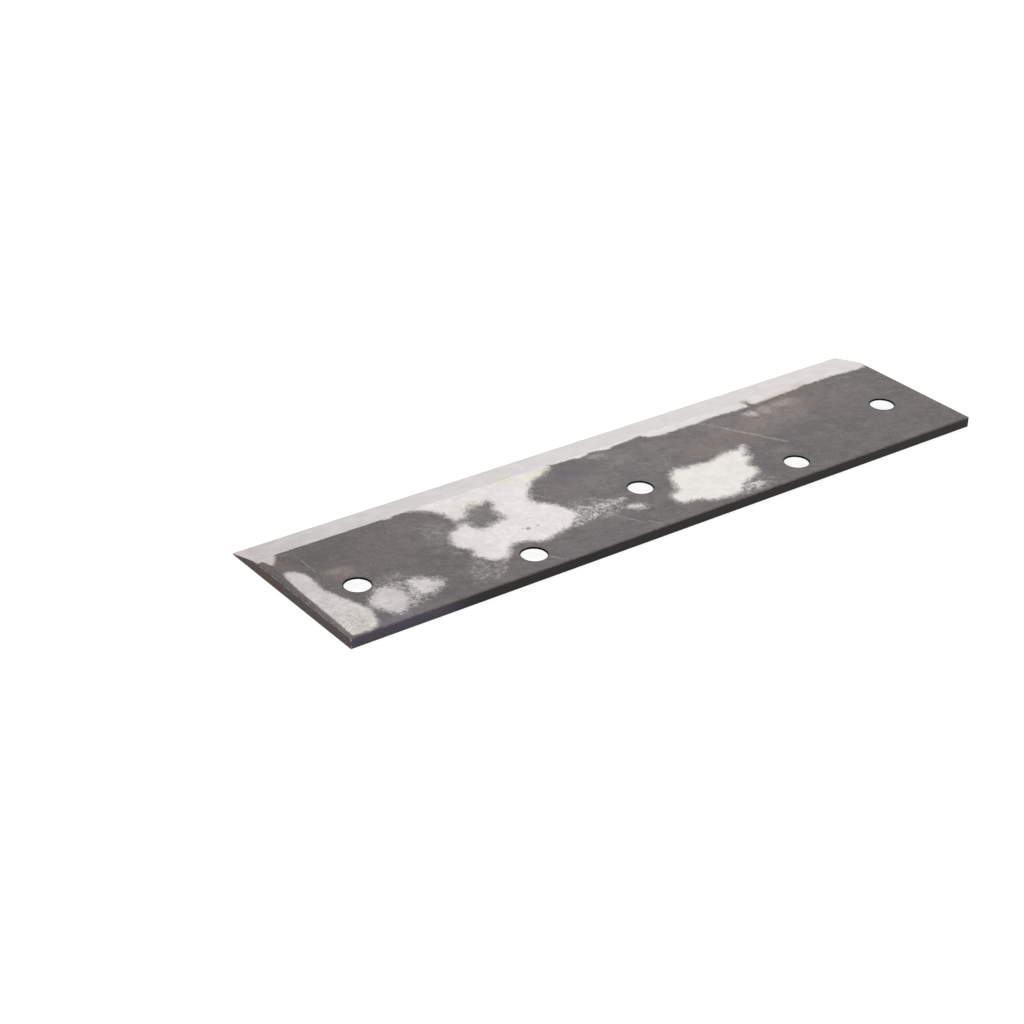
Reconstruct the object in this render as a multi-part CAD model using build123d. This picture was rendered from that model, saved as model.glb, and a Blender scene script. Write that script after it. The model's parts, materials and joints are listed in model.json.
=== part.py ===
from build123d import *
import os

# Silage cutter knife: a flat steel blade, bevelled along one long edge and
# bolted to the cutter's frame through two staggered rows of holes.
# Millimetres. X runs along the blade, +Y points at the cutting edge, and the
# blade lies on its flat underside at z = 0 with its middle over the origin.

# Rolled and sheared blank
blade_width = 110.0       # back edge to cutting edge
plate_thickness = 6.0
shear_rollover = 0.8      # rounding that the shear leaves along the top edges
corner_radius = 0.8       # worn upright corners

# Bolt holes, in a zigzag from one end to the other
hole_count = 5
hole_spacing = 90.0       # from each hole to the next, along the blade
end_margin = 30.0         # from each end of the blade to the nearest hole
front_row_inset = 40.0    # row nearer the cutting edge, from the back edge
back_row_inset = 15.0     # row along the back edge, from the back edge
hole_diameter = 14.0      # clearance for an M12 bolt
hole_edge_break = 0.3     # small chamfer at both mouths of a hole

# Ground cutting edge
bevel_width = 22.0        # ground band, measured flat across the blade
edge_land = 0.3           # blunt height left at the cutting edge

blade_length = 2 * end_margin + (hole_count - 1) * hole_spacing
back_y = -blade_width / 2
edge_y = blade_width / 2


def sheared_blank():
    """Flat plate with upright corners worn round and a rollover along its top rim."""
    outline = RectangleRounded(blade_length, blade_width, corner_radius)
    blank = extrude(outline, amount=plate_thickness)
    top_rim = blank.faces().sort_by(Axis.Z)[-1].edges()
    return fillet(top_rim, shear_rollover)


def hole_centres():
    """Hole places from the left end: odd ones in the front row, even ones in the back row."""
    insets = (front_row_inset, back_row_inset)
    first_x = -blade_length / 2 + end_margin
    return [(first_x + i * hole_spacing, back_y + insets[i % 2]) for i in range(hole_count)]


def hole_cutter():
    """Body of one bolt hole, flared at both faces of the plate."""
    radius = hole_diameter / 2
    mouth = radius + hole_edge_break
    section = Polyline(
        (0, 0),
        (mouth, 0),
        (radius, hole_edge_break),
        (radius, plate_thickness - hole_edge_break),
        (mouth, plate_thickness),
        (0, plate_thickness),
        close=True,
    )
    return revolve(make_face(Plane.XZ * section), Axis.Z)


def bevel_cutter():
    """Wedge of steel that grinding takes off above the cutting edge."""
    section = Polyline(
        (edge_y - bevel_width, plate_thickness),
        (edge_y, edge_land),
        (edge_y + bevel_width, edge_land),
        (edge_y + bevel_width, plate_thickness),
        close=True,
    )
    return extrude(make_face(Plane.YZ * section), amount=blade_length, both=True)


def cutter_blade():
    """The finished knife: blank, then bolt holes, then the ground bevel."""
    blade = sheared_blank()
    for x, y in hole_centres():
        blade -= Pos(x, y, 0) * hole_cutter()
    return blade - bevel_cutter()


os.makedirs("parts", exist_ok=True)
export_step(cutter_blade(), "parts/cutter_blade.step")
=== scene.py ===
import json
import math
from functools import reduce

import bpy
import numpy as np
from mathutils import Matrix, Vector


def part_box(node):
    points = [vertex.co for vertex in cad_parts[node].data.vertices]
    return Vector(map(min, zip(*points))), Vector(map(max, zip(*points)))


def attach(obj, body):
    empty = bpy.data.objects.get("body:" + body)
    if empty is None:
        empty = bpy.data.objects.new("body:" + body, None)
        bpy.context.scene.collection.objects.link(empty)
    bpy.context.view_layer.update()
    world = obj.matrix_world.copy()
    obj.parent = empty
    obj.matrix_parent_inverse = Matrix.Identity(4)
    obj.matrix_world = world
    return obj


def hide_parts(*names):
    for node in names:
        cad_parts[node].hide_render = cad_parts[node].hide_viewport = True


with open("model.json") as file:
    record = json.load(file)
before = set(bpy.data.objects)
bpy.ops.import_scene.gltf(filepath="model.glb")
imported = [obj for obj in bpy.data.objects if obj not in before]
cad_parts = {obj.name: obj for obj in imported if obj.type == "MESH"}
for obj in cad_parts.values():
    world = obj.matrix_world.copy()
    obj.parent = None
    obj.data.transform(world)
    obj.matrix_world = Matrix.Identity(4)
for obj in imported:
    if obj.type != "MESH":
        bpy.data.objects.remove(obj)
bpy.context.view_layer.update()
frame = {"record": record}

# Lengths here are millimetres and become metres where a mesh or a lamp is made.
# Places on the blade are (x, y): x from its left end, y from its back edge.
MM = 0.001
NODE = "cutter_blade"
low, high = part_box(NODE)
LENGTH, WIDTH, THICKNESS = [(b - a) / MM for a, b in zip(low, high)]
CORNER = Vector((low.x, low.y, low.z))
FAR = 9.0                  # stands for any distance too long to matter
CLOSE = 1e-3               # points this near a line are on it
TINY = 1e-6                # shorter than any real length

# Form of the blade, as in the CAD part
BEVEL_WIDTH = 22.0
BEVEL_LINE = WIDTH - BEVEL_WIDTH
EDGE_LAND = 0.3
CORNER_RADIUS = 0.8
CORNER_INSET = CORNER_RADIUS * (1 - math.sqrt(0.5))    # from a side to the middle of a worn corner
HOLE_BREAK = 0.3

# Draw-down that the shear leaves: how far in it reaches, and how deep
END_DRAW = (2.4, 0.45)
BACK_DRAW = (0.8, 0.5)

# Mesh: its step, and the lines at the ends, the back edge, the bevel line and the cutting edge
GRID_STEP = 1.2
END_LINES = (0, 0.2, 0.5, 0.95, 1.6, END_DRAW[0])
BACK_LINES = (0, 0.15, 0.4, BACK_DRAW[0])
BEVEL_LINES = (-0.3, 0, 0.3)
EDGE_LINES = (-0.5, 0)
WALL_ROWS = 6
WALL_REACH = 0.3           # points this near a side belong to its wall

# Mesh at a hole: half the side of the square around it, and the rings from its mouth out to the square
HOLE_PATCH = 12.0
RING_SHARES = (0, 0.05, 0.13, 0.25, 0.42, 0.62, 0.82)

# Rows down a hole's wall to half its depth: how much wider than the hole, and how far below the face
BORE_ROWS = ((0.1, 0.06), (0, HOLE_BREAK), (0, 0.8), (0, 1.6), (0, THICKNESS / 2))

# Looks of the faces, in the order of the materials
FACE, SHEARED, BORE = range(3)

# Bake map: each area's corner and its scale per millimetre, as shares of the map's side
FACE_MAP = (0.005, 0.2, 0.0036)
UNDER_MAP = (0.772, 0.14, 0.00204)
SIDE_MAP = (0.005, 0.005, 0.00356)
END_MAP = (0.005, 0.105, 0.0034)
BORE_MAP = (0.005, 0.145, 0.0032)
MAP_GAP = 1.7              # between neighbours in one area

# Camera, fitted to the blade's edges and hole rims in a frame of 1024 pixels
IMAGE_SIZE = 1024
FOCAL_PX = 2283.0
CAMERA_AZIMUTH = 37.37
CAMERA_ELEVATION = 28.78
CAMERA_ROLL = -1.49
NEAR_CORNER_PX = (351.0, 649.35)
PX_PER_MM = 2.1122         # at the near corner
SENSOR = 36.0

# Surroundings: strength of their light on the blade, and of the white that the camera sees
WORLD_LIGHT = 0.45
WORLD_WHITE = 1.0

# Lamps: (name, place in metres, side in metres, watts)
LAMPS = [
    ("key", (0.5, 0.6, 0.9), 0.8, 4.0),
    ("fill", (-0.6, -0.2, 1.0), 0.8, 1.3),
]

# Floor: half its side in metres, its gap below the blade in millimetres, and its glow for the camera
FLOOR_REACH = 6.0
FLOOR_GAP = 0.2
FLOOR_GLOW = 0.87

# Bright patches where a disc has ground through the mill scale
END_PATCH = [
    (2.4, 3), (3.5, 1.6), (9, 1.2), (15, 2), (19, 5.5), (21, 11), (22.6, 17), (21.4, 22), (19.6, 27),
    (18.2, 32), (16.4, 37), (14.3, 42), (14.2, 50), (14.6, 57), (13.8, 63), (11.5, 67.5), (7.5, 69.8),
    (5, 68), (3.9, 60), (3.2, 45), (2.8, 25),
]
NEAR_LOBE = [
    (24.6, 21.4), (27.4, 25), (31.2, 28.2), (35, 31.2), (39.5, 31.4), (42.6, 28.4), (45, 24.6),
    (45.2, 20), (44.6, 15.5), (42.4, 11.4), (38.8, 8), (36.5, 6), (33, 5), (30.4, 7), (29, 11),
    (26, 15.4), (23.2, 19.4),
]
FAR_LOBE = [
    (50, 25), (51.4, 29), (54, 30.4), (57.5, 29.6), (60.8, 26.8), (64, 23.6), (67.6, 20.8),
    (65.4, 17.2), (61.6, 14.6), (56, 13.2), (52, 13.6), (50, 15.4), (49.6, 18.4), (49.6, 21.5),
]
MIDDLE_PATCH = [
    (91, 93), (93.4, 87.5), (98, 84.2), (103, 79.2), (105.4, 75), (105.6, 71), (106.4, 67), (106, 61),
    (103, 58.4), (98, 56.4), (94.6, 53), (92.4, 48.4), (91.8, 44.2), (93.2, 40.2), (96, 37), (96, 34),
    (93.6, 31.4), (95.4, 27.8), (97.6, 23.8), (101.6, 20.4), (107, 19.8), (110.8, 22.2), (113.5, 26),
    (116.5, 28.8), (120.5, 29), (126, 27), (130, 24), (136, 22.8), (142, 24.6), (150, 26.6), (155, 28),
    (158.8, 31.2), (163.4, 34.6), (164.8, 38.2), (162.8, 42.5), (162.6, 46.5), (160.4, 51), (156.8, 55),
    (153.8, 60), (155, 65.6), (159.2, 71), (163.8, 75.8), (168.8, 79), (175, 80.4), (180.2, 83.4),
    (185.7, 88.3), (190, 93),
]
DARK_ISLAND = [
    (103, 64.8), (108, 65), (111.4, 64.8), (114, 66.4), (116.6, 69), (119.4, 71.4), (124, 72.6),
    (129, 72.4), (134, 72.8), (132.6, 67.6), (130, 63.6), (130, 59), (130.4, 54.6), (126, 53.6),
    (121, 52), (116.6, 50.6), (113, 52), (111.2, 56), (111, 60), (107.4, 61.6), (103, 62.8),
]
RIGHT_PATCH = [
    (216.4, 18.4), (217, 22.4), (220, 24.6), (224.4, 26.2), (226.4, 30), (228.4, 36), (231.4, 41),
    (235.2, 44.4), (239.5, 46), (243, 44.6), (248, 43.6), (252, 43.4), (257, 42.4), (262, 42),
    (266, 43.2), (271, 45), (277, 45.4), (282.4, 44), (289, 46.8), (287.2, 42), (284, 38.6),
    (281, 36.2), (284.8, 35), (280.8, 31.6), (277, 28.6), (275.6, 26), (276.8, 22.5), (275, 18.4),
    (271.4, 15.6), (265, 13.8), (259.5, 11.8), (256.4, 9.2), (254, 6.4), (250, 4.8), (245, 5),
    (240, 6.2), (236, 6.6), (232.2, 7.8), (228.4, 11.2), (223.5, 13), (218, 13.6),
]
BEVEL_OVERRUN = [
    (246, 93), (248.2, 87), (250.6, 84.6), (254, 82.4), (260, 81.2), (275, 81.5), (285, 81.2),
    (295, 82), (308, 81.6), (318, 80.8), (323.6, 81.2), (325, 85), (327, 84.6), (328.4, 81.4),
    (337, 81.8), (350, 82.2), (364, 83.2), (370, 84.2), (377, 83.7), (390, 84), (404, 82.8),
    (414, 82.2), (417.5, 83.4), (419, 93),
]
TIP_SCUFF = [
    (0.2, 93), (0.4, 86), (2.6, 85.3), (3.8, 82.6), (4.6, 80), (5.8, 79), (7, 80.4), (9, 83.4),
    (11.2, 86.4), (13.4, 93),
]
NOTCHES = [
    [(183, 93), (187, 87.2), (194, 86.8), (199, 86.4), (202, 85.6), (205, 84.8), (208, 85.8), (213, 86.8),
     (217, 86.3), (220, 85.3), (222.6, 84.5), (226.4, 85.2), (230, 86), (246, 87), (249, 93)],
    [(75, 93), (77, 87.4), (79.5, 86.8), (82.5, 87.5), (84, 93)],
]
SMALL_SPOT = [(190.5, 27.6), (193.5, 28), (197, 26.2), (200, 24), (198, 21.8), (194, 22.6)]
FAINT_SPOT = [(314.6, 75), (321.5, 75.6), (322.6, 73.6), (321, 70.4), (317.6, 71.2)]
PALE_SPOTS = [
    [(325.5, 75.4), (329, 76.2), (333, 74.6), (331.6, 71), (328, 68.8), (325.2, 71)],
    [(337, 76), (342, 77), (349, 76), (350.4, 73), (345, 71.6), (339, 72.4)],
    [(208, 82), (212, 83), (217, 81.5), (216, 79), (211, 80)],
]
BEIGE_PATCH = [
    (22, 58), (25, 59.4), (31, 60), (35, 58.6), (36.4, 54.5), (35.6, 51), (31, 50.6), (26, 54.4),
]

# Areas that are only sprinkled with bare specks
TAIL_SPECKS = [(150, 28), (158, 27), (168, 28), (174, 30), (174, 38), (168, 41), (160, 43)]
TAIL_THIN = [(172, 28), (184, 28), (188, 33), (186, 38), (176, 41)]
TAIL_STREAK = [(176, 34.6), (184, 33.4), (193, 33.8), (194, 36.4), (185, 37.2), (177, 37)]
LOBE_SPECKS = [(38, 33), (45, 36), (52, 34), (50, 24), (50, 12), (42, 9), (40, 20)]
LOBE_BRIDGE = [(42, 10), (48, 11.5), (49.5, 16), (49, 24), (50, 28), (46, 31), (43, 29), (44, 24), (43, 18)]
HOLE_SPECKS = [(83, 10), (92, 9), (99, 14), (104, 20), (96, 23), (86, 19)]
LEFT_SPECKS = [(85, 50), (88, 62), (97, 64), (96, 46), (93, 36), (87, 42)]
RIGHT_SPECKS = [(248, 6), (258, 4.6), (270, 4.4), (274, 8), (268, 13), (256, 11)]
RIGHT_STREAK = [(254, 6.6), (259, 10.6), (263, 12.2), (267, 9.4), (269, 6), (264, 4.6), (258, 4.8)]
TAIL_DOTS = [(162, 40), (172, 45), (182, 42), (176, 38)]

# Each patch is (outline, spread of its border, most depth inside it, how bare its specks are)
PATCHES = [
    (END_PATCH, 1.1, FAR, 1.0),
    (NEAR_LOBE, 1.8, FAR, 0.94),
    (FAR_LOBE, 2.0, 3.4, 0.94),
    (LOBE_BRIDGE, 1.6, 0.2, 0.85),
    (RIGHT_PATCH, 1.9, FAR, 1.0),
    (RIGHT_STREAK, 1.6, 0.5, 0.85),
    (BEVEL_OVERRUN, 0.85, FAR, 1.0),
    (TIP_SCUFF, 0.9, FAR, 0.98),
    (SMALL_SPOT, 1.6, 1.4, 0.9),
    (FAINT_SPOT, 1.5, 1.4, 0.72),
    (TAIL_SPECKS, 2.0, -0.4, 0.92),
    (TAIL_THIN, 2.4, -1.5, 0.75),
    (TAIL_STREAK, 1.6, 0.2, 0.85),
    (LOBE_SPECKS, 2.4, -1.7, 0.75),
    (HOLE_SPECKS, 2.4, -1.7, 0.6),
    (LEFT_SPECKS, 2.4, -2.6, 0.45),
    (RIGHT_SPECKS, 2.4, -1.9, 0.7),
    (TAIL_DOTS, 2.4, -2.2, 0.5),
]
PATCHES += [(outline, 0.7, FAR, 1.0) for outline in NOTCHES]
PATCHES += [(outline, 2.2, 0.6, 0.34) for outline in PALE_SPOTS]
PATCHES += [(MIDDLE_PATCH, 1.8, FAR, 1.0)]
ISLAND_SPREAD = 2.3
BEVEL_SPREAD = 0.3
BEIGE_SPREAD = 3.0
STRAY_SPECKS = -4.2        # depth in spreads, far from every patch
CRISP_REACH = 8.0          # borders grow crisper this near the left end
CRISP_LEAST = 0.25         # the least share of its spread that a border keeps there
WORN_HIGHLIT_CORNER = 0.4 * CORNER_RADIUS    # from a square corner in to where its wear and painted highlight begin

# Soft stains: (x, y, reach along x, reach along y, strength)
BROWN_STAINS = [
    (1.5, 72, 2.5, 16, 0.9), (29, 50, 10, 6, 0.9), (10, 80, 4, 9, 0.9), (6, 74, 5, 6, 0.7),
    (16, 86, 8, 2, 0.6), (57, 69, 7, 9, 0.9), (48, 52, 8, 4, 0.5), (82, 82, 8, 5, 0.35),
    (92, 76, 10, 8, 0.5), (72, 60, 6, 6, 0.3), (172, 62, 12, 9, 0.4), (258, 51, 12, 6, 0.9),
    (276, 57, 12, 9, 0.8), (296, 60, 12, 10, 0.7), (303, 48, 10, 8, 0.4), (312, 64, 9, 7, 0.7),
    (322, 72, 12, 6, 0.6), (350, 78, 16, 4, 0.9), (338, 64, 14, 10, 0.8), (52, 60, 20, 14, 0.45),
    (352, 66, 12, 8, 0.8), (100, 10, 14, 8, 0.3), (228, 8, 6, 3, 0.6), (372, 80, 12, 4, 0.6),
    (378, 60, 20, 10, 0.3), (404, 20, 10, 12, 0.3), (367, 86, 6, 2.5, 1.0), (349, 84, 12, 2, 0.7),
    (325.5, 86, 4, 3, 0.9),
]
PALE_HAZE = [
    (2, 9, 2.5, 9, 0.4), (168, 46, 8, 6, 0.5), (236, 52, 8, 6, 0.5), (270, 49.5, 17, 3.5, 0.9),
    (65, 60, 22, 14, 0.1), (78, 72, 8, 6, 0.4), (175, 60, 14, 12, 0.35), (200, 62, 18, 16, 0.4),
    (221, 70, 8, 8, 0.85), (240, 76, 16, 8, 0.3), (245, 66, 20, 10, 0.3), (262, 57, 12, 6, 0.3),
    (290, 64, 16, 14, 0.7), (275, 76, 5, 3, 0.4), (289, 76, 5, 4, 0.4), (318, 60, 14, 10, 0.35),
    (301, 29.5, 5, 3, 0.9), (322, 34, 3, 2, 0.8), (329, 72, 5, 4, 0.8), (340, 74, 7, 3, 0.9),
    (350, 72, 8, 3, 0.6), (335, 60, 16, 12, 0.5), (121, 69, 7, 3, 0.7), (120, 63, 10, 10, 0.8),
    (93, 60, 7, 8, 0.8), (88, 20, 12, 10, 0.35), (384, 66, 24, 12, 0.35), (40, 3, 24, 4, 0.9),
    (214, 84, 5, 3, 0.5), (312, 66, 16, 12, 0.5), (342, 66, 14, 10, 0.5), (108, 64, 4, 2.5, 0.9),
]
DARK_CLOUDS = [
    (1.4, 72, 2.8, 18, 1.0), (12.4, 84, 2, 5, 1.0), (16, 54, 5, 10, 0.5), (28, 76, 18, 11, 1.0),
    (23.5, 31, 4, 6, 1.0), (52, 82, 16, 5, 0.5), (76, 36, 16, 10, 0.35), (62, 6, 14, 6, 1.0),
    (53, 61, 22, 16, 0.6), (98, 84, 10, 4, 0.3), (188, 76, 12, 7, 0.5), (246, 84, 12, 3, 0.4),
    (288, 20, 12, 10, 0.35), (330, 78.5, 22, 2, 0.7), (207, 10, 12, 6, 0.3), (352, 56, 6, 8, 0.4),
    (126, 62, 3, 4, 0.3), (318, 40, 11, 6, 0.4), (80, 26, 8, 6, 0.3),
]
BEIGE_STAINS = [
    (262, 55, 8, 4, 0.3), (306, 58, 8, 6, 0.35), (303, 30, 5, 3, 0.3), (313, 62, 5, 4, 0.5),
    (319, 73, 6, 2, 0.7), (329.5, 73, 4.5, 3.5, 0.9), (341, 74, 7, 3, 1.0), (350, 71, 6, 4, 0.6),
    (333, 64, 4, 3, 0.5), (345, 62, 6, 5, 0.5), (296, 76, 6, 4, 0.3), (14, 85.5, 6, 1.5, 0.4),
    (212, 82.5, 5, 2, 0.4), (123, 75, 8, 2.5, 0.4),
]
BLUE_BLOOM = [
    (184, 75, 9, 7, 0.8), (202, 73, 9, 7, 0.6), (218, 60, 9, 8, 0.3), (34, 5, 24, 6, 0.9),
    (118, 5, 12, 4, 0.8), (150, 8, 20, 6, 0.45), (60, 48, 18, 8, 0.15), (285, 27, 10, 12, 0.4),
    (302, 36, 12, 5, 0.4), (320, 40, 10, 6, 0.3), (262, 10, 14, 8, 0.2), (190, 22, 12, 10, 0.3),
    (172, 9, 10, 6, 0.3), (386, 34, 18, 16, 0.3),
]
YELLOW_TINT = [
    (154, 85.5, 5, 3.5, 0.9), (166, 81.5, 5, 3, 0.7), (175, 83, 6, 3, 1.0), (154, 96, 9, 8, 0.25),
    (12, 12, 8, 8, 0.2), (124, 77, 6, 3, 0.6),
]
OLD_DIRT = [
    (124, 75, 9, 3, 1.0), (155, 86, 5, 3, 0.6), (177, 85, 5, 2.5, 0.6), (109, 63, 4, 5, 0.6),
    (9, 14, 7, 9, 1.0), (13, 9, 4, 4, 0.4), (8, 33, 3, 6, 0.3), (152.5, 61, 2.5, 5, 0.9),
    (325.6, 86, 2.6, 2.6, 0.8),
]
STAINS = {
    "brown": BROWN_STAINS, "pale": PALE_HAZE, "beige": BEIGE_STAINS, "dark": DARK_CLOUDS,
    "blue": BLUE_BLOOM, "yellow": YELLOW_TINT, "dirt": OLD_DIRT,
}

# Wear values of the underside and the walls. The others are 0 there.
PLAIN_WEAR = {"bare": STRAY_SPECKS, "cover": 0.6, "brown": 0.15, "pale": 0.2, "blue": 0.2}

# Spots of scale left inside the ground patches: (x, y, radius, strength)
DARK_DOTS = [(133.4, 37.9, 1.2, 0.6), (139.6, 37.9, 0.9, 0.3), (131, 38.8, 0.8, 0.2), (325.4, 86.8, 2.2, 0.3)]

# Scratches and grooves: (start, end, width, strength)
SCRATCHES = [
    ((285, 82), (293.8, 68), 1.9, 0.32),
    ((292.8, 69), (304.2, 50), 1.7, 0.5),
    ((303.2, 51), (312.2, 36), 1.5, 0.5),
    ((19.9, 76), (19.6, 62), 0.4, 0.6),
    ((21, 57), (15.6, 47), 0.3, 0.3),
    ((125, 9.5), (129, 3.5), 0.6, 0.75),
    ((179, 25), (186.5, 10.5), 0.6, 0.55),
    ((190.5, 9), (193.8, 3), 0.55, 0.55),
    ((157, 67), (163, 57), 0.5, 0.5),
    ((38, 33.5), (45, 35.5), 0.3, 0.6),
    ((84, 74), (93, 60), 0.4, 0.45),
    ((226, 62), (233, 57), 0.4, 0.45),
    ((192, 53), (195, 47), 0.45, 0.45),
    ((55, 41), (43, 22), 0.25, 0.4),
    ((244, 62), (237, 48), 0.4, 0.4),
    ((341, 60), (352, 43), 0.35, 0.35),
]
DARK_GROOVES = [
    ((20.6, 66), (17.8, 50), 0.6, 0.5),
    ((3.1, 87), (3.7, 64), 0.9, 0.55),
    ((3.7, 64), (3.2, 34), 0.7, 0.3),
]

# Noise that breaks up the borders of bare steel: (grains per mm, how far it moves them in spreads)
BORDER_GRAINS = [(0.3, 4.5), (0.75, 6.0), (1.9, 5.5)]

# Patchy stains of the scale: (wear value, grains per mm, ends of the noise, screen colour)
PATCHY_TONES = [
    ("pale", 0.25, (0.36, 0.6, 0.2, 0.8), (138, 131, 128)),
    ("brown", 0.3, (0.4, 0.58, 0.15, 0.95), (114, 94, 87)),
    ("beige", 0.35, (0.34, 0.56, 0.3, 0.85), (146, 132, 120)),
]

# Even stains over those: (wear value, share of it, screen colour)
EVEN_TONES = [
    ("dark", 0.55, (46, 38, 36)),
    ("blue", 0.7, (78, 77, 94)),
    ("yellow", 0.6, (120, 116, 96)),
]

# Ground steel of the patches and of the bevel, lighter towards the right end as painted light: (share of the
# blade's length, screen colour)
FACE_STEEL = [
    (0.02, (188, 183, 181)), (0.13, (192, 187, 186)), (0.26, (207, 202, 201)), (0.55, (212, 208, 204)),
]
BEVEL_STEEL = [
    (0.02, (195, 189, 188)), (0.1, (201, 198, 197)), (0.26, (209, 205, 206)), (0.8, (212, 209, 208)),
]

# Marks that the materials place themselves. A pair gives the lengths between which one fades.
BEVEL_BLEND = (16, 0)      # ground steel takes on the bevel's tone, measured back from its line
SCALE_RIM = (3.5, 1.2)     # darker line of scale, measured back from the bevel line
MOUTH_RING = (0.2, 1.1)    # dark ring of scale, measured out from a hole's mouth
END_STRIP = (2.2, 3.6)     # pale lines along the left end, measured in from it
OVERRUN_X = (235, 260)     # duller steel where the bevel's grinding ran over
OVERRUN_Y = (78, 82)
BLUED_X = (45, 78)         # blue of the back edge, from the left end
RED_BROWN_Y = (35, 60)     # redder scale of the sheared ends, on their far half
LIP_HEIGHTS = (5.05, 5.3)  # where the bright wall of a hole turns into its dark lip of scale and painted shade
SMEAR_SLANT = 20           # degrees that the scale's smears are turned

# Stray hairlines: (cell that holds one, half its length, its width, share of cells that have one)
LONG_HAIRS = (13, 6, 0.09, 0.45)
SHORT_HAIRS = (7, 3, 0.07, 0.3)
HAIR_SHIFT = (40, 70, 0)   # keeps the two sets apart

# Worn rim of the face and of the sides, with a painted highlight on it: (raggedness, its reach, grains per mm
# and ends of its gaps)
FACE_RIM_WEAR_AND_HIGHLIGHT = (0.9, (0.45, 0.8), (0.6, 0.44, 0.56, 0.1, 1.0))
SIDE_RIM_WEAR_AND_HIGHLIGHT = (1.2, (0.6, 1.1), (0.7, 0.45, 0.57, 0.05, 1.0))


def holes_from_mounts():
    """Centres of the bolt holes in blade millimetres, and their radius, from the record's mounts."""
    centres = []
    radius = 0.0
    for mount in frame["record"]["mounts"]:
        dims = mount["dims"]
        if mount["kind"] not in ("bolt_pattern", "bore"):
            continue
        radius = dims.get("hole_r_mm", dims.get("r_mm"))
        x = (mount["pos_m"][0] - CORNER.x) / MM
        y = (mount["pos_m"][1] - CORNER.y) / MM
        reach = dims.get("spacing_x_mm", 0) / 2
        centres += [(x - reach, y), (x + reach, y)] if reach else [(x, y)]
    return sorted(centres), radius


HOLES, HOLE_RADIUS = holes_from_mounts()


def spaced(stops, step):
    """Coordinates from the first stop to the last, on every stop and no further apart than step."""
    found = [stops[0]]
    for a, b in zip(stops, stops[1:]):
        parts = max(1, math.ceil((b - a) / step - TINY))
        found += [a + (b - a) * k / parts for k in range(1, parts + 1)]
    return np.array(found)


def grid_lines():
    """The mesh's x and y lines, close together at the sheared rims and on every crisp edge."""
    xs = list(END_LINES)
    for x, _ in HOLES:
        xs += [x - HOLE_PATCH, x + HOLE_PATCH]
    xs += [LENGTH - x for x in reversed(END_LINES)]
    ys = list(BACK_LINES)
    for y in sorted({y for _, y in HOLES}):
        ys += [y - HOLE_PATCH, y + HOLE_PATCH]
    ys += [BEVEL_LINE + y for y in BEVEL_LINES] + [WIDTH + y for y in EDGE_LINES]
    return spaced(xs, GRID_STEP), spaced(ys, GRID_STEP)


def round_corners(plan):
    """Bends the square corners of the plan into arcs."""
    for at_x, way_x in ((0, 1), (LENGTH, -1)):
        for at_y, way_y in ((0, 1), (WIDTH, -1)):
            u = CORNER_RADIUS - (plan[:, 0] - at_x) * way_x
            v = CORNER_RADIUS - (plan[:, 1] - at_y) * way_y
            inside = (u > 0) & (v > 0)
            squeeze = np.maximum(u, v) / np.maximum(np.hypot(u, v), TINY)
            plan[:, 0] = np.where(inside, at_x + way_x * (CORNER_RADIUS - u * squeeze), plan[:, 0])
            plan[:, 1] = np.where(inside, at_y + way_y * (CORNER_RADIUS - v * squeeze), plan[:, 1])
    return plan


def draw_down(distance, reach, depth):
    """How far the plate's top has sunk at this distance from a sheared edge."""
    left = np.clip(1 - distance / reach, 0, 1)
    return depth * (1 - np.sqrt(1 - left**2))


def top_height(plan):
    """Height of the upper surface over each point of the plan."""
    x, y = plan[:, 0], plan[:, 1]
    sunk = draw_down(np.minimum(x, LENGTH - x), *END_DRAW) + draw_down(y, *BACK_DRAW)
    bevel = EDGE_LAND + (WIDTH - y) * (THICKNESS - EDGE_LAND) / BEVEL_WIDTH
    return np.minimum(THICKNESS - sunk, bevel)


def band(upper, lower):
    """Faces between two closed loops of points that run the same way."""
    n = len(upper)
    return [(upper[k], lower[k], lower[(k + 1) % n], upper[(k + 1) % n]) for k in range(n)]


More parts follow.
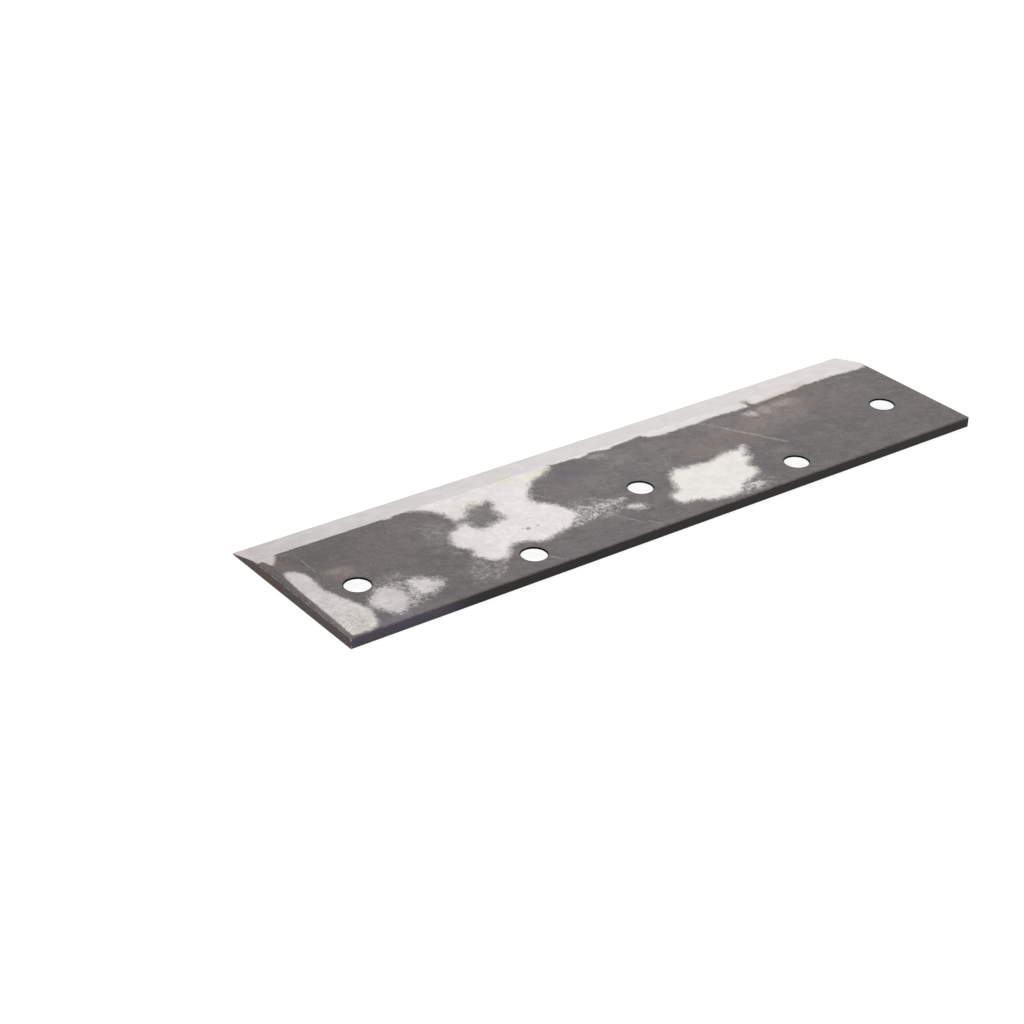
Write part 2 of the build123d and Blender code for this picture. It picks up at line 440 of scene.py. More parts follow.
def plan_mesh():
    """Points, faces, outer loop and hole loops of the blade seen from above."""
    xs, ys = grid_lines()
    nx, ny = len(xs), len(ys)
    grid = np.stack(np.meshgrid(xs, ys, indexing="ij"), -1).reshape(-1, 2)

    def at(i, j):
        return i * ny + j

    def around(i0, i1, j0, j1):
        """Points round a rectangle of the grid, as a closed loop."""
        loop = [at(i, j0) for i in range(i0, i1)] + [at(i1, j) for j in range(j0, j1)]
        return loop + [at(i, j1) for i in range(i1, i0, -1)] + [at(i0, j) for j in range(j1, j0, -1)]

    def in_hole_patch(i, j):
        x, y = (xs[i] + xs[i + 1]) / 2, (ys[j] + ys[j + 1]) / 2
        return any(abs(x - cx) < HOLE_PATCH and abs(y - cy) < HOLE_PATCH for cx, cy in HOLES)

    cells = [(i, j) for i in range(nx - 1) for j in range(ny - 1) if not in_hole_patch(i, j)]
    faces = [(at(i, j), at(i + 1, j), at(i + 1, j + 1), at(i, j + 1)) for i, j in cells]
    points = [grid]
    count = len(grid)
    rings = []
    for cx, cy in HOLES:
        i0, i1 = (int(np.argmin(abs(xs - cx - d))) for d in (-HOLE_PATCH, HOLE_PATCH))
        j0, j1 = (int(np.argmin(abs(ys - cy - d))) for d in (-HOLE_PATCH, HOLE_PATCH))
        square = around(i0, i1, j0, j1)
        outer = grid[square]
        away = outer - (cx, cy)
        mouth = (cx, cy) + away / np.linalg.norm(away, axis=1)[:, None] * (HOLE_RADIUS + HOLE_BREAK)
        loops = []
        for share in RING_SHARES:
            points.append(mouth * (1 - share) + outer * share)
            loops.append(list(range(count, count + len(square))))
            count += len(square)
        loops.append(square)
        for inner, next_out in zip(loops, loops[1:]):
            faces += band(inner, next_out)
        rings.append(loops[0])
    border = around(0, nx - 1, 0, ny - 1)
    points = round_corners(np.concatenate(points))
    used = np.unique(np.array(faces))
    place = np.full(len(points), -1)
    place[used] = range(len(used))
    return points[used], place[np.array(faces)], place[border], [place[ring] for ring in rings]


def smooth_outline(points, per_side=4):
    """More points along a closed curve through the given ones."""
    p = np.array(points, float)
    before, after, beyond = np.roll(p, 1, 0), np.roll(p, -1, 0), np.roll(p, -2, 0)
    found = []
    for k in range(per_side):
        t = k / per_side
        found.append(
            0.5 * (2 * p + (after - before) * t + (2 * before - 5 * p + 4 * after - beyond) * t**2
                   + (3 * p - before - 3 * after + beyond) * t**3)
        )
    return np.stack(found, 1).reshape(-1, 2)


def signed_distance(plan, outline):
    """Distance in millimetres from each point to an outline, positive inside it."""
    ring = smooth_outline(outline)
    nearest = np.full(len(plan), np.inf)
    inside = np.zeros(len(plan), bool)
    for a, b in zip(ring, np.roll(ring, -1, 0)):
        side = b - a
        along = np.clip(((plan - a) @ side) / max(side @ side, TINY), 0, 1)
        nearest = np.minimum(nearest, np.linalg.norm(plan - a - along[:, None] * side, axis=1))
        crosses = (a[1] > plan[:, 1]) != (b[1] > plan[:, 1])
        rise = side[1] if abs(side[1]) > TINY else TINY
        inside ^= crosses & (plan[:, 0] < a[0] + (plan[:, 1] - a[1]) * side[0] / rise)
    return np.where(inside, nearest, -nearest)


def bare_steel(plan):
    """Depth of each point in bare steel, in spreads of the border there, and how bare its specks are."""
    bare = plan[:, 1] - BEVEL_LINE
    spread = np.full(len(plan), BEVEL_SPREAD)
    cover = np.ones(len(plan))
    for outline, patch_spread, most, patch_cover in PATCHES:
        depth = np.minimum(signed_distance(plan, outline), most)
        wins = depth / patch_spread > bare / spread
        bare = np.where(wins, depth, bare)
        spread = np.where(wins, patch_spread, spread)
        cover = np.where(wins, patch_cover, cover)
    spread *= np.clip(plan[:, 0] / CRISP_REACH, CRISP_LEAST, 1)
    bare = np.minimum(bare / spread, -signed_distance(plan, DARK_ISLAND) / ISLAND_SPREAD)
    return np.maximum(bare, STRAY_SPECKS), cover


def soft_spots(plan, spots):
    """Sum of soft round stains at each point, from 0 to 1."""
    total = np.zeros(len(plan))
    for x, y, reach_x, reach_y, strength in spots:
        away = ((plan[:, 0] - x) / reach_x) ** 2 + ((plan[:, 1] - y) / reach_y) ** 2
        total += strength * np.exp(-away)
    return np.clip(total, 0, 1)


def build_blade():
    """The blade as one closed mesh with soft rims, carrying its wear as values on its points."""
    plan, faces, border, rings = plan_mesh()
    n = len(plan)
    top = np.column_stack([plan, top_height(plan)])
    blocks = [top, np.column_stack([plan, np.zeros(n)])]
    quads = [tuple(f) for f in faces] + [tuple(f + n)[::-1] for f in faces]
    looks = [FACE] * len(quads)
    count = 2 * n

    def wall(upper, lower, rows, look):
        """Faces from an upper loop of points down to a lower one, through rows of new points."""
        nonlocal count
        loops = [upper]
        for row in rows:
            blocks.append(row)
            loops.append(np.arange(count, count + len(row)))
            count += len(row)
        loops.append(lower)
        for above, below in zip(loops, loops[1:]):
            quads.extend(band(above, below))
            looks.extend([look] * len(above))

    heights = [1 - k / WALL_ROWS for k in range(1, WALL_ROWS)]
    wall(border, border + n, [top[border] * (1, 1, height) for height in heights], SHEARED)
    bore_rows = BORE_ROWS + tuple((wider, THICKNESS - deep) for wider, deep in reversed(BORE_ROWS[:-1]))
    for ring, hole in zip(rings, HOLES):
        out = plan[ring] - hole
        out /= np.linalg.norm(out, axis=1)[:, None]
        rows = []
        for wider, deep in bore_rows:
            level = hole + out * (HOLE_RADIUS + wider)
            rows.append(np.column_stack([level, np.full(len(ring), THICKNESS - deep)]))
        wall(ring[::-1], (ring + n)[::-1], [row[::-1] for row in rows], BORE)

    points = np.concatenate(blocks)
    mesh = bpy.data.meshes.new("blade")
    mesh.from_pydata((points * MM + np.array(CORNER)).tolist(), [], [tuple(map(int, q)) for q in quads])
    mesh.polygons.foreach_set("material_index", looks)
    mesh.polygons.foreach_set("use_smooth", [True] * len(quads))
    carry_wear(mesh, points, n)
    lay_out_for_bake(mesh, points, looks, n)
    mark_sharp_edges(mesh, points)
    mesh.validate()
    mesh.update()
    return mesh


def rim_distance(points):
    """Distance in millimetres from the upper outer rim and the upright corners."""
    x, y, z = points.T
    to_end = np.minimum(x, LENGTH - x)
    to_side = np.minimum(to_end, y)
    gap = np.where(z > TINY, to_side, FAR)
    gap = np.where(to_side < WALL_REACH, np.abs(top_height(points[:, :2]) - z), gap)
    return np.minimum(gap, np.maximum(np.hypot(to_end, y) - WORN_HIGHLIT_CORNER, 0))


def carry_wear(mesh, points, n):
    """Writes the wear values: the upper face's own, and plain ones for the underside and the walls."""
    plan = points[:, :2]
    values = {name: soft_spots(plan, spots) for name, spots in STAINS.items()}
    beige_patch = np.clip(0.5 + signed_distance(plan, BEIGE_PATCH) / BEIGE_SPREAD, 0, 1)
    values["beige"] = np.maximum(values["beige"], beige_patch)
    values["bare"], values["cover"] = bare_steel(plan)
    for name, value in values.items():
        value[n:] = PLAIN_WEAR.get(name, 0)
    values["rim"] = rim_distance(points)
    to_middle = np.min([np.hypot(*(plan - hole).T) for hole in HOLES], axis=0)
    values["mouth"] = to_middle - HOLE_RADIUS - HOLE_BREAK
    for name, value in values.items():
        layer = mesh.attributes.new(name, "FLOAT", "POINT")
        layer.data.foreach_set("value", value.astype(np.float32))


def on_map(area, u, v):
    """Places in an area of the bake map, for lengths in millimetres from its corner."""
    start_u, start_v, scale = area
    return np.stack([start_u + u * scale, start_v + v * scale], -1)


def lay_out_for_bake(mesh, points, looks, n):
    """UV map for baking: the upper face in two halves, the underside beside it, the walls below."""
    loops = np.empty(len(mesh.loops), int)
    mesh.loops.foreach_get("vertex_index", loops)
    quads = points[loops].reshape(-1, 4, 3)
    upper = (loops < n).reshape(-1, 4).all(1)
    centre = quads.mean(1)
    x, y, z = np.moveaxis(quads, 2, 0)
    right_half = (centre[:, 0] > LENGTH / 2)[:, None]
    front_half = (centre[:, 1] > WIDTH / 2)[:, None]
    along = x - right_half * LENGTH / 2
    second = right_half * (WIDTH + MAP_GAP)

    face = on_map(FACE_MAP, along, y + second)
    under = on_map(UNDER_MAP, y, x)
    side = on_map(SIDE_MAP, along, z + (right_half + 2 * front_half) * (THICKNESS + MAP_GAP))
    end = on_map(END_MAP, y + second, z)
    to_end = np.minimum(centre[:, 0], LENGTH - centre[:, 0])
    to_side = np.minimum(centre[:, 1], WIDTH - centre[:, 1])
    outer = np.where((to_end < to_side)[:, None, None], end, side)

    away = np.array([centre[:, :2] - hole for hole in HOLES])
    nearest = np.hypot(away[:, :, 0], away[:, :, 1]).argmin(0)
    middle = away[nearest, np.arange(len(quads))]
    corner = quads[:, :, :2] - np.array(HOLES)[nearest][:, None]
    turn = np.arctan2(middle[:, 1], middle[:, 0])[:, None]
    across = corner[..., 1] * np.cos(turn) - corner[..., 0] * np.sin(turn)
    half_strip = math.pi * HOLE_RADIUS + MAP_GAP
    unrolled = half_strip + turn * HOLE_RADIUS + across
    bore = on_map(BORE_MAP, unrolled + nearest[:, None] * 2 * half_strip, z)

    look = np.array(looks)[:, None, None]
    flat = np.where(upper[:, None, None], face, under)
    places = np.where(look == BORE, bore, np.where(look == SHEARED, outer, flat))
    layer = mesh.uv_layers.new(name="OFBake")
    layer.data.foreach_set("uv", places.reshape(-1).astype(np.float32))


def mark_sharp_edges(mesh, points):
    """Keeps the bevel line, the cutting edge, the hole mouths and the lower rim crisp."""
    ends = np.empty(len(mesh.edges) * 2, int)
    mesh.edges.foreach_get("vertices", ends)
    a, b = points[ends[0::2]], points[ends[1::2]]

    def both(test):
        return test(a) & test(b)

    def on_rim(p):
        to_end, to_side = np.minimum(p[:, 0], LENGTH - p[:, 0]), np.minimum(p[:, 1], WIDTH - p[:, 1])
        return np.minimum(to_end, to_side) < CORNER_INSET + CLOSE

    def at_mouth(p):
        away = [np.hypot(p[:, 0] - cx, p[:, 1] - cy) for cx, cy in HOLES]
        return np.min(away, axis=0) < HOLE_RADIUS + HOLE_BREAK + CLOSE

    bevel_line = both(lambda p: abs(p[:, 1] - BEVEL_LINE) < CLOSE)
    cutting_edge = both(lambda p: p[:, 1] > WIDTH - CLOSE) & (abs(a[:, 2] - b[:, 2]) < TINY)
    lower_rim = both(lambda p: p[:, 2] < TINY) & (both(on_rim) | both(at_mouth))
    upper_mouth = both(lambda p: p[:, 2] > THICKNESS - TINY) & both(at_mouth)
    layer = mesh.attributes.new("sharp_edge", "BOOLEAN", "EDGE")
    layer.data.foreach_set("value", bevel_line | cutting_edge | lower_rim | upper_mouth)


def srgb(r, g, b):
    """A colour given as screen values from 0 to 255."""
    linear = [(c / 255 / 12.92) if c <= 10 else ((c / 255 + 0.055) / 1.055) ** 2.4 for c in (r, g, b)]
    return (*linear, 1.0)


class Nodes:
    """Short calls for building the node tree of a material or of the world."""

    def __init__(self, owner, surface="Principled BSDF"):
        owner.use_nodes = True
        self.owner = owner
        self.tree = owner.node_tree
        self.surface = self.tree.nodes[surface]

    def link(self, value, socket):
        """Links a socket to another one, or gives it a plain value."""
        if isinstance(value, bpy.types.NodeSocket):
            self.tree.links.new(value, socket)
        else:
            socket.default_value = value

    def set(self, name, value):
        """The same for a socket of the surface's own shader."""
        self.link(value, self.surface.inputs[name])

    def node(self, kind, inputs=(), **settings):
        made = self.tree.nodes.new(kind)
        for key, value in settings.items():
            setattr(made, key, value)
        for socket, value in dict(inputs).items():
            self.link(value, made.inputs[socket])
        return made

    def math(self, operation, *values, clamp=False):
        made = self.node("ShaderNodeMath", enumerate(values), operation=operation, use_clamp=clamp)
        return made.outputs[0]

    def highest(self, masks):
        """The highest of several masks at each point."""
        return reduce(lambda top, mask: self.math("MAXIMUM", top, mask), masks)

    def vector(self, operation, *values, out=0):
        return self.node("ShaderNodeVectorMath", enumerate(values), operation=operation).outputs[out]

    def scaled(self, point, factors):
        return self.vector("MULTIPLY", point, factors)

    def flat(self, point):
        """A point without its height."""
        return self.scaled(point, (1, 1, 0))

    def rotated(self, point, angle):
        """A point turned about the upright axis."""
        inputs = {"Vector": point, "Angle": angle}
        return self.node("ShaderNodeVectorRotate", inputs, rotation_type="Z_AXIS").outputs[0]

    def axes(self, point):
        return self.node("ShaderNodeSeparateXYZ", {0: point}).outputs

    def noise(self, point, scale, detail=2.0, roughness=0.5, warp=0.0):
        inputs = dict(Vector=point, Scale=scale, Detail=detail, Roughness=roughness, Distortion=warp)
        return self.node("ShaderNodeTexNoise", inputs).outputs["Fac"]

    def between(self, value, low_end, high_end, start=0.0, stop=1.0):
        """A value's way from low_end to high_end, smoothed, and mapped to start and stop."""
        inputs = {0: value, 1: low_end, 2: high_end, 3: start, 4: stop}
        return self.node("ShaderNodeMapRange", inputs, interpolation_type="SMOOTHSTEP").outputs[0]

    def attribute(self, name):
        return self.node("ShaderNodeAttribute", attribute_name=name).outputs["Fac"]

    def patchy(self, wear, point, grain, ends):
        """A wear value of the mesh, broken up by noise."""
        value = self.attribute(wear)
        return self.math("MULTIPLY", value, self.between(self.noise(point, *grain), *ends))

    def mix(self, share, first, second):
        """Two colours mixed, the second one a socket or screen values."""
        if isinstance(second, tuple):
            second = srgb(*second)
        made = self.node("ShaderNodeMix", data_type="RGBA")
        for name, value in (("Factor_Float", share), ("A_Color", first), ("B_Color", second)):
            socket = next(s for s in made.inputs if s.identifier == name)
            self.link(value, socket)
        return next(s for s in made.outputs if s.identifier == "Result_Color")

    def tinted(self, colour, value, *tints):
        """A colour with tints mixed in by a value, each (its ends as in between, its screen values)."""
        for ends, tint in tints:
            colour = self.mix(self.between(value, *ends), colour, tint)
        return colour

    def ramp(self, value, stops):
        """A colour by a value, from stops of (place, screen values)."""
        made = self.node("ShaderNodeValToRGB", {0: value})
        ramp = made.color_ramp
        while len(ramp.elements) < len(stops):
            ramp.elements.new(0.5)
        for element, (position, colour) in zip(ramp.elements, stops):
            element.position = position
            element.color = srgb(*colour)
        return made.outputs[0]

    def bump(self, height, strength):
        """Fine relief of the surface, a tenth of a millimetre deep."""
        inputs = {"Strength": strength, "Distance": 0.1 * MM, "Height": height}
        self.set("Normal", self.node("ShaderNodeBump", inputs).outputs[0])


def place_in_mm(n):
    """Place on the blade in millimetres, from its near left corner."""
    point = n.node("ShaderNodeTexCoord").outputs["Object"]
    moved = n.vector("SUBTRACT", point, tuple(CORNER))
    return n.scaled(moved, (1 / MM, 1 / MM, 1 / MM))


def behind_bevel(lengths):
    """Places across the blade at these lengths back from the bevel line."""
    return [BEVEL_LINE - length for length in lengths]


def scratch_mask(n, point, start, end, width, strength):
    """A thin line from start to end."""
    a = Vector((*start, 0))
    run = Vector((*end, 0)) - a
    from_start = n.vector("SUBTRACT", n.flat(point), tuple(a))
    along = n.vector("DOT_PRODUCT", from_start, tuple(run), out=1)
    along = n.math("DIVIDE", along, run.length_squared, clamp=True)
    reached = n.node("ShaderNodeVectorMath", {0: tuple(run), 3: along}, operation="SCALE").outputs[0]
    away = n.vector("DISTANCE", from_start, reached, out=1)
    return n.between(away, width * 0.3, width, strength, 0.0)


def placed_scratches(n, point, z):
    """The scratches seen on the upper face, broken up by noise."""
    broken = n.between(n.noise(point, 0.9, 4, 0.7), 0.38, 0.54)
    on_top = n.math("GREATER_THAN", z, THICKNESS / 2)
    lines = n.highest(scratch_mask(n, point, *scratch) for scratch in SCRATCHES)
    return n.math("MULTIPLY", lines, n.math("MULTIPLY", broken, on_top))


def stray_scratches(n, point, cell, half_length, width, share):
    """Short hairlines, one at most in each random cell of the plate, each turned its own way."""
    cells = n.node("ShaderNodeTexVoronoi", {"Vector": point, "Scale": 1 / cell}, voronoi_dimensions="2D")
    pick = n.axes(cells.outputs["Color"])
    offset = n.vector("SUBTRACT", n.flat(point), cells.outputs["Position"])
    along, across, _ = n.axes(n.rotated(offset, n.math("MULTIPLY", pick[0], math.pi)))
    thin = n.between(n.math("ABSOLUTE", across), width * 0.4, width, 1.0, 0.0)
    short = n.between(n.math("ABSOLUTE", along), half_length * 0.6, half_length, 1.0, 0.0)
    return n.math("MULTIPLY", n.math("MULTIPLY", thin, short), n.math("LESS_THAN", pick[1], share))


def dot_mask(n, point, x, y, radius, strength):
    """A small spot of scale with a ragged rim."""
    away = n.vector("DISTANCE", n.flat(point), (x, y, 0), out=1)
    grain = n.math("SUBTRACT", n.noise(point, 1.2, 3), 0.5)
    ragged = n.math("ADD", away, n.math("MULTIPLY", grain, 2.4))
    return n.between(ragged, radius * 0.6, radius * 1.4, strength, 0.0)


def bare_border(n, point):
    """Where steel is bare: 1 inside the ground patches, soft at their borders, and broken up into specks."""
    cover = n.attribute("cover")
    total = 0.0
    for grains_per_mm, reach in BORDER_GRAINS:
        grain = n.math("SUBTRACT", n.noise(point, grains_per_mm, 3, 0.65), 0.5)
        total = n.math("ADD", total, n.math("MULTIPLY", grain, reach))
    total = n.math("MULTIPLY", total, n.between(cover, 0.9, 1.0, 1.0, 0.6))
    mask = n.between(n.math("ADD", n.attribute("bare"), total), -1.5, 1.5)
    return n.math("MULTIPLY", mask, cover)


def scale_colour(n, point, mottle):
    """Clouded mill scale with its stains, from dark grey to brown and blue."""
    cloud = n.noise(point, 0.06, 6, 0.66, 0.8)
    colour = n.ramp(cloud, [(0.36, (66, 63, 61)), (0.5, (81, 76, 74)), (0.62, (98, 91, 88))])
    tint = n.noise(point, 0.11, 5, 0.62)
    colour = n.tinted(colour, tint, ((0.5, 0.64, 0, 0.6), (72, 74, 71)), ((0.36, 0.5, 0.5, 0), (94, 82, 78)))
    blotch = n.noise(point, 0.17, 4, 0.6, 0.6)
    colour = n.tinted(colour, blotch, ((0.52, 0.62, 0, 0.5), (110, 104, 101)),
                      ((0.38, 0.48, 0.5, 0), (56, 53, 51)))
    slanted = n.scaled(n.rotated(point, math.radians(SMEAR_SLANT)), (0.07, 0.34, 0.2))
    smear = n.noise(slanted, 1.0, 5, 0.66, 0.7)
    colour = n.tinted(colour, smear, ((0.52, 0.64, 0, 0.5), (122, 114, 110)),
                      ((0.36, 0.47, 0.55, 0), (48, 46, 45)))
    colour = n.tinted(colour, mottle, ((0.5, 0.66, 0, 0.6), (120, 112, 108)),
                      ((0.34, 0.48, 0.7, 0), (50, 48, 47)))
    for wear, grains_per_mm, ends, tone in PATCHY_TONES:
        colour = n.mix(n.patchy(wear, point, (grains_per_mm, 5, 0.65), ends), colour, tone)
    for wear, most, tone in EVEN_TONES:
        colour = n.mix(n.math("MULTIPLY", n.attribute(wear), most), colour, tone)
    fleck = n.noise(point, 0.95, 5, 0.74)
    return n.tinted(colour, fleck, ((0.54, 0.68, 0, 0.6), (42, 39, 37)),
                    ((0.3, 0.44, 0.75, 0), (150, 143, 139)))


def bare_colour(n, point, x, y):
    """Ground steel: lighter towards the right end and darker towards the left as painted light, greyer on the
    bevel, with stains and old dirt.
    """
    share = n.math("DIVIDE", x, LENGTH)
    # Painted light: the ground steel turns lighter towards the right end
    face = n.ramp(share, FACE_STEEL)
    bevel = n.ramp(share, BEVEL_STEEL)
    face = n.mix(n.between(y, *behind_bevel(BEVEL_BLEND), 0, 0.4), face, bevel)
    colour = n.mix(n.between(y, BEVEL_LINE - 0.2, BEVEL_LINE + 0.2), face, bevel)
    grind = n.noise(n.scaled(point, (0.06, 1.8, 1.8)), 1.2, 4, 0.6)
    colour = n.mix(n.between(grind, 0.4, 0.65, 0, 0.16), colour, (176, 172, 170))
    clouds = n.between(n.noise(point, 0.12, 4, 0.6), 0.42, 0.65, 0, 0.22)
    colour = n.mix(clouds, colour, (236, 232, 230))
    overrun = n.math("MULTIPLY", n.between(x, *OVERRUN_X), n.between(y, *OVERRUN_Y, 0, 0.2))
    overrun = n.math("MULTIPLY", overrun, n.between(y, BEVEL_LINE, BEVEL_LINE + 0.3, 1.0, 0.0))
    colour = n.mix(overrun, colour, (180, 176, 174))
    pinkish = n.math("MULTIPLY", n.attribute("brown"), 0.55)
    colour = n.mix(pinkish, colour, (190, 168, 160))
    yellow = n.patchy("yellow", point, (0.5, 4, 0.6), (0.35, 0.6, 0.4, 1.0))
    colour = n.mix(n.math("MULTIPLY", yellow, 0.8), colour, (212, 207, 178))
    grime = n.patchy("dirt", point, (0.7, 5, 0.75), (0.48, 0.58))
    return n.mix(n.math("MULTIPLY", grime, 0.7), colour, (140, 136, 122))


def end_streaks(n, point, x, y):
    """Pale lines along the drawn-down strip at the left end."""
    lines = n.noise(n.scaled(point, (1.6, 0.16, 1.0)), 1.0, 4, 0.7)
    strip = n.math("MULTIPLY", n.between(x, *END_STRIP, 1.0, 0.0), n.between(y, 20, 55, 1.0, 0.15))
    return n.math("MULTIPLY", strip, n.between(lines, 0.5, 0.62, 0, 0.5))


def worn_and_highlit_rim(n, point, ragged, reach, gaps):
    """Bright wear and a painted edge highlight within reach of the upper outer rim and the upright corners.
    Noise makes its side ragged and leaves gaps in it.
    """
    rim = n.attribute("rim")
    distance = n.math("ADD", rim, n.math("MULTIPLY", n.noise(point, 0.9, 4, 0.7), ragged))
    worn_and_highlit = n.between(distance, *reach, 1.0, 0.0)
    grains_per_mm, *ends = gaps
    return n.math("MULTIPLY", worn_and_highlit, n.between(n.noise(point, grains_per_mm, 3, 0.6), *ends))


def face_material():
    """Mill scale, and the bare steel of the bevel and the ground patches, by the mesh's wear values."""
    n = Nodes(bpy.data.materials.new("face_steel"))
    point = place_in_mm(n)
    x, y, z = n.axes(point)
    mottle = n.noise(point, 0.45, 6, 0.68)
    bare = bare_border(n, point)
    bare = n.math("SUBTRACT", bare, n.highest(dot_mask(n, point, *dot) for dot in DARK_DOTS), clamp=True)

    scale = scale_colour(n, point, mottle)
    rim_line = n.math("MULTIPLY", n.between(y, *behind_bevel(SCALE_RIM), 0, 0.35),
                      n.between(n.attribute("bare"), -9, -1.5, 1.0, 0.6))
    scale = n.mix(rim_line, scale, (52, 48, 45))
    hair = n.math("MAXIMUM", stray_scratches(n, point, *LONG_HAIRS),
                  stray_scratches(n, n.vector("ADD", point, HAIR_SHIFT), *SHORT_HAIRS))
    scratched = n.math("MAXIMUM", placed_scratches(n, point, z), n.math("MULTIPLY", hair, 0.4))
    scale = n.mix(scratched, scale, (190, 184, 180))
    ring = n.between(n.attribute("mouth"), *MOUTH_RING, 0.75, 0.0)
    scale = n.mix(ring, scale, (46, 44, 43))
    scale = n.mix(end_streaks(n, point, x, y), scale, (158, 148, 142))
    grooved = n.highest(scratch_mask(n, point, *groove) for groove in DARK_GROOVES)
    scale = n.mix(grooved, scale, (44, 38, 37))

    colour = n.mix(bare, scale, bare_colour(n, point, x, y))
    # Bright rim: wear with a painted highlight along the rounded edge and the corners
    worn_and_highlit = worn_and_highlit_rim(n, point, *FACE_RIM_WEAR_AND_HIGHLIGHT)
    worn_and_highlit = n.math("MULTIPLY", worn_and_highlit, n.between(y, 0.5, 2.0, 0.25, 0.7))
    n.set("Base Color", n.mix(worn_and_highlit, colour, (176, 170, 166)))
    n.set("Metallic", n.math("MULTIPLY", bare, 0.5))
    n.set("Roughness", n.between(mottle, 0.3, 0.7, 0.44, 0.6))

    relief = n.math("MULTIPLY", n.noise(point, 1.4, 5, 0.65), 0.5)
    relief = n.math("SUBTRACT", relief, n.math("MULTIPLY", bare, 0.3))
    relief = n.math("SUBTRACT", relief, n.math("MULTIPLY", n.math("MAXIMUM", scratched, grooved), 0.4))
    n.bump(relief, 0.4)
    return n.owner


def sheared_material():
    """Dark sheared edges, blued near the left end, with torn streaks and a worn line with a painted highlight
    along the top; the rest of the back edge is near-black, dark scale with painted shade.
    """
    n = Nodes(bpy.data.materials.new("sheared_edge"))
    point = place_in_mm(n)
    x, y, _ = n.axes(point)
    streaks = n.noise(n.scaled(point, (1.0, 1.0, 0.2)), 1.1, 5, 0.68)
    # Near-black back edge: dark scale with painted shade
    dark = n.ramp(streaks, [(0.3, (14, 11, 11)), (0.7, (38, 32, 32))])
    blue = n.ramp(streaks, [(0.3, (66, 62, 76)), (0.7, (98, 93, 109))])
    back = n.mix(n.between(x, *BLUED_X), blue, dark)
    brown = n.ramp(streaks, [(0.3, (56, 46, 44)), (0.7, (99, 86, 84))])
    redder = n.between(y, *RED_BROWN_Y, 0, 0.7)
    redder = n.math("MULTIPLY", redder, n.between(n.noise(point, 0.15, 4), 0.4, 0.6))
    brown = n.mix(redder, brown, (84, 60, 54))
    specks = n.noise(point, 0.8, 5, 0.75)
    brown = n.tinted(brown, specks, ((0.56, 0.66, 0, 0.7), (158, 150, 144)),
                     ((0.34, 0.45, 0.6, 0), (34, 28, 27)))
    colour = n.mix(n.between(y, 0.4, 1.2), back, brown)
    # Bright top rim and corners: wear with a painted highlight, strongest at the left end's corner and faint
    # along the back edge
    worn_and_highlit = worn_and_highlit_rim(n, point, *SIDE_RIM_WEAR_AND_HIGHLIGHT)
    amount = n.between(y, 0.3, 1.0, n.between(x, 1.0, 4.0, 0.9, 0.25), 0.8)
    n.set("Base Color", n.mix(n.math("MULTIPLY", worn_and_highlit, amount), colour, (186, 181, 177)))
    n.set("Specular IOR Level", 0.3)
    n.set("Roughness", n.between(streaks, 0.3, 0.7, 0.5, 0.65))
    n.bump(streaks, 0.6)
    return n.owner


def bore_material():
    """Bright drilled wall under a dark lip at the upper mouth, dark scale with painted shade."""
    n = Nodes(bpy.data.materials.new("hole_wall"))
    point = place_in_mm(n)
    z = n.axes(point)[2]
    rings = n.noise(n.scaled(point, (0.2, 0.2, 4.0)), 1.0, 3, 0.6)
    bright = n.ramp(rings, [(0.3, (240, 240, 240)), (0.7, (252, 252, 252))])
    lip = n.between(n.math("ADD", z, n.math("MULTIPLY", n.noise(point, 0.6, 2), 0.3)), *LIP_HEIGHTS)
    # Dark lip: dark scale with painted shade of the shadowed top of the wall
    n.set("Base Color", n.mix(lip, bright, (14, 13, 13)))
    n.set("Metallic", n.math("SUBTRACT", 1.0, lip, clamp=True))
    n.set("Roughness", n.between(rings, 0.3, 0.7, 0.12, 0.2))
    n.set("Specular IOR Level", 0.0)
    return n.owner


def make_blade():
    """The blade in place of its CAD node."""
    blade = bpy.data.objects.new("blade", build_blade())
    bpy.context.scene.collection.objects.link(blade)
    for material in (face_material(), sheared_material(), bore_material()):
        blade.data.materials.append(material)
    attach(blade, "root")
    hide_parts(NODE)


def camera_from_photo():
    """Camera at the photograph's viewpoint."""
    azimuth, elevation, roll = (math.radians(a) for a in (CAMERA_AZIMUTH, CAMERA_ELEVATION, CAMERA_ROLL))
    ahead = Vector((math.sin(azimuth) * math.cos(elevation), math.cos(azimuth) * math.cos(elevation),
                    -math.sin(elevation)))
    level_right = ahead.cross(Vector((0, 0, 1))).normalized()
    level_down = ahead.cross(level_right)
    right = math.cos(roll) * level_right + math.sin(roll) * level_down
    down = math.cos(roll) * level_down - math.sin(roll) * level_right
    depth = FOCAL_PX / PX_PER_MM
    middle = IMAGE_SIZE / 2
    across = [(p - middle) / FOCAL_PX * depth for p in NEAR_CORNER_PX]
    spot = CORNER - (right * across[0] + down * across[1] + ahead * depth) * MM
    data = bpy.data.cameras.new("camera")
    data.sensor_width = SENSOR
    data.lens = FOCAL_PX / IMAGE_SIZE * SENSOR
    camera = bpy.data.objects.new("camera", data)
    turn = Matrix((right, -down, -ahead)).transposed()
    camera.matrix_world = Matrix.Translation(spot) @ turn.to_4x4()
    bpy.context.scene.collection.objects.link(camera)
    bpy.context.scene.camera = camera


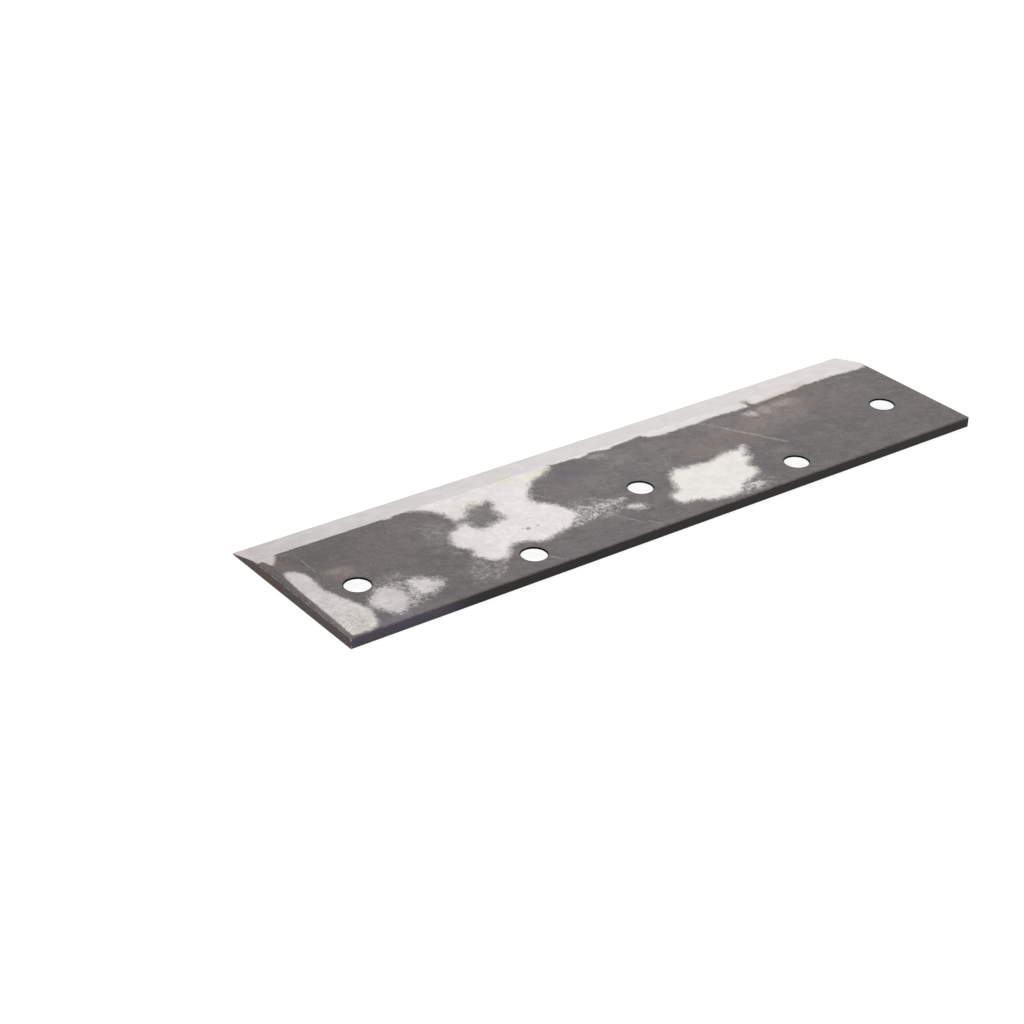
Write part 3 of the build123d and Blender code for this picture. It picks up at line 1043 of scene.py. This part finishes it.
def seen_directly(n):
    """1 for the camera's own rays, also by way of metal or glass, and 0 for light on its way to the blade."""
    path = n.node("ShaderNodeLightPath").outputs
    return n.highest(path[name] for name in ("Is Camera Ray", "Is Glossy Ray", "Is Transmission Ray"))


def floor_material():
    """Pale floor: white to the camera and in reflections, but it still takes the blade's shadow."""
    n = Nodes(bpy.data.materials.new("floor"))
    n.set("Base Color", (0.8, 0.8, 0.8, 1))
    n.set("Roughness", 0.9)
    seen = seen_directly(n)
    glow = n.node("ShaderNodeEmission", {"Color": (1, 1, 1, 1), "Strength": FLOOR_GLOW})
    shade = n.node("ShaderNodeBsdfDiffuse", {"Color": (0.3, 0.3, 0.3, 1)})
    both = n.node("ShaderNodeAddShader", {0: glow.outputs[0], 1: shade.outputs[0]})
    shown = n.node("ShaderNodeMixShader", {0: seen, 1: n.surface.outputs[0], 2: both.outputs[0]})
    n.link(shown.outputs[0], n.tree.nodes["Material Output"].inputs["Surface"])
    return n.owner


def make_floor():
    """Wide pale floor under the blade."""
    reach, level = FLOOR_REACH, low.z - FLOOR_GAP * MM
    mesh = bpy.data.meshes.new("floor")
    corners = [(-reach, -reach, level), (reach, -reach, level), (reach, reach, level), (-reach, reach, level)]
    mesh.from_pydata(corners, [], [(0, 1, 2, 3)])
    mesh.materials.append(floor_material())
    floor = bpy.data.objects.new("floor", mesh)
    bpy.context.scene.collection.objects.link(floor)


def soft_lamp(name, place, size, power):
    """Square lamp, turned to the blade."""
    data = bpy.data.lights.new(name, "AREA")
    data.size = size
    data.energy = power
    lamp = bpy.data.objects.new(name, data)
    lamp.location = place
    lamp.rotation_euler = (-Vector(place)).to_track_quat("-Z", "Y").to_euler()
    bpy.context.scene.collection.objects.link(lamp)


def light_scene():
    """White surroundings, a soft lamp beyond the blade and a weaker one to its left."""
    world = bpy.data.worlds.new("surroundings")
    bpy.context.scene.world = world
    n = Nodes(world, "Background")
    n.set("Color", (1, 1, 1, 1))
    n.set("Strength", n.between(seen_directly(n), 0, 1, WORLD_LIGHT, WORLD_WHITE))
    for lamp in LAMPS:
        soft_lamp(*lamp)


bpy.context.scene.view_settings.view_transform = "Standard"
camera_from_photo()
make_blade()
make_floor()
light_scene()
